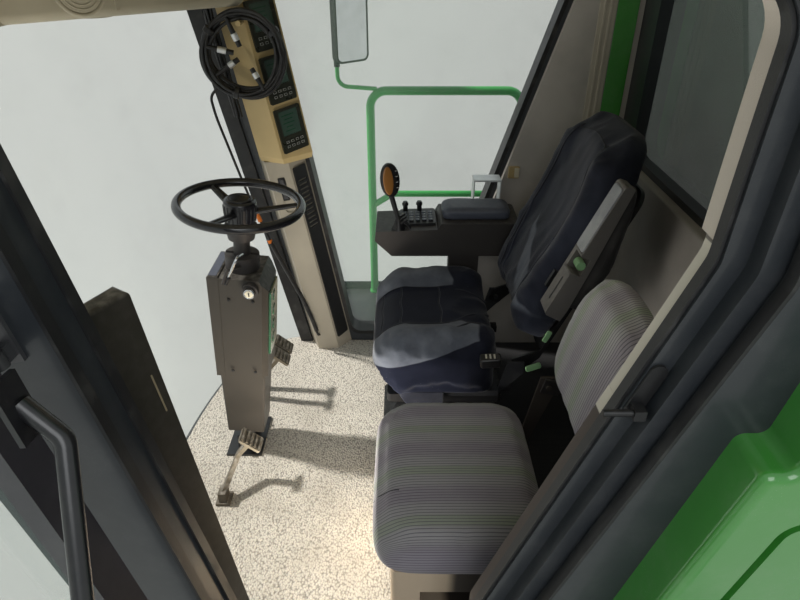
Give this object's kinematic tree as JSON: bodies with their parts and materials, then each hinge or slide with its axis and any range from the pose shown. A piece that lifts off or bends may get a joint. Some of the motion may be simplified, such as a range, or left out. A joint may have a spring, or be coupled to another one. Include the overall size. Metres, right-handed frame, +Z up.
{
  "type": "combine harvester cab",
  "caption": "Operator's cab of a combine harvester on its base frame, with its door open, two seats, steering column, displays, controls, roof, catwalk and mirror.",
  "frame": {"origin": "on the ground plane under the middle of the base frame's centre cross rail", "axes": "+X to the operator's left, where the door is; -Y to the front; +Z up"},
  "size_m": [3.2206, 2.13, 1.952],
  "materials": {
    "steel_frame": "satin",
    "shell_paint": "satin",
    "green_paint": "gloss",
    "rail_paint": "gloss",
    "glass": "clear",
    "rubber": "matte",
    "carpet": "looped carpet",
    "liner": "grained",
    "beige_trim": "grained",
    "taupe_plastic": "grained",
    "black_plastic": "grained",
    "dark_plastic": "grained",
    "screen": "gloss",
    "lamp": "clear",
    "machine_metal": "satin",
    "bright_metal": "brushed",
    "rim": "gloss",
    "cloth_dark": "woven",
    "cloth_light": "woven",
    "pad_grey": "grained",
    "cable": "satin"
  },
  "bodies": {
    "cab": {"base_frame": "steel_frame", "floor_pan": "shell_paint", "floor_mat": "carpet", "side_frame_left": "shell_paint", "side_frame_right": "shell_paint", "rear_wall": "shell_paint", "windshield": "glass", "right_window": "glass", "rear_window": "glass", "rubber_seals": "rubber", "headliner": "liner", "overhead_console": "liner", "roof_shell": "green_paint", "work_lamps": "lamp", "jamb_trims": "beige_trim", "door_striker": "machine_metal", "rear_trims": "taupe_plastic", "side_cover_left": "green_paint", "door_hinges": "machine_metal", "post_cover_right": "beige_trim", "post_switch_strip": "black_plastic", "display_housing": "beige_trim", "display_units": "black_plastic", "display_screens": "screen", "post_cover_left": "taupe_plastic", "column_foot": "machine_metal", "pedals": "machine_metal", "seat_pedestal": "black_plastic", "guest_base": "beige_trim", "guest_cushion": "cloth_light", "catwalk": "steel_frame", "guard_rail": "rail_paint", "mirror": "black_plastic", "cable_coil": "cable", "cable_lead": "cable"},
    "door": {"door_frame": "shell_paint", "door_glass": "glass", "door_grab_bar": "machine_metal", "door_latch": "black_plastic"},
    "column": {"column_housing": "taupe_plastic", "column_front_cover": "taupe_plastic", "column_gauges": "screen", "column_head": "dark_plastic"},
    "wheel": {"steering_wheel": "rim"},
    "seat": {"seat_pan": "steel_frame", "seat_cushion": "cloth_dark", "seat_skirt": "cloth_dark", "console_body": "dark_plastic", "console_pad": "pad_grey", "console_keys": "black_plastic", "console_lever": "dark_plastic", "console_bracket": "bright_metal"},
    "seat_back": {"seat_back_frame": "black_plastic", "seat_back_pad": "cloth_dark"},
    "armrest": {"armrest_shell": "dark_plastic", "armrest_pad": "pad_grey"},
    "guest_back": {"guest_back_frame": "dark_plastic", "guest_back_pad": "cloth_light"}
  },
  "joints": [
    {"name": "door_hinge", "type": "hinge", "parent": "cab", "child": "door", "pos_m": [0.88, -0.262, 0.182], "axis": [0, -0.1676, 0.9859], "range_deg": [-5, 95]},
    {"name": "column_tilt", "type": "hinge", "parent": "cab", "child": "column", "pos_m": [-0.165, -0.536, 0.228], "axis": [1, 0, 0], "range_deg": [-12, 8]},
    {"name": "wheel_spin", "type": "hinge", "parent": "column", "child": "wheel", "pos_m": [-0.165, -0.4507, 1.06794], "axis": [0, 0.0958, 0.9954], "continuous": true},
    {"name": "seat_slide", "type": "slide", "parent": "cab", "child": "seat", "axis": [0, 1, 0], "range_m": [-0.1, 0.03]},
    {"name": "seat_recline", "type": "hinge", "parent": "seat", "child": "seat_back", "pos_m": [-0.235, 0.345, 0.602], "axis": [1, 0, 0], "range_deg": [-5, 15]},
    {"name": "armrest_fold", "type": "hinge", "parent": "seat_back", "child": "armrest", "pos_m": [0.089, 0.41871, 0.92921], "axis": [1, 0, 0], "range_deg": [0, 105]},
    {"name": "guest_back_fold", "type": "hinge", "parent": "cab", "child": "guest_back", "pos_m": [0.3825, 0.395, 0.687], "axis": [1, 0, 0], "range_deg": [0, 100]}
  ]
}
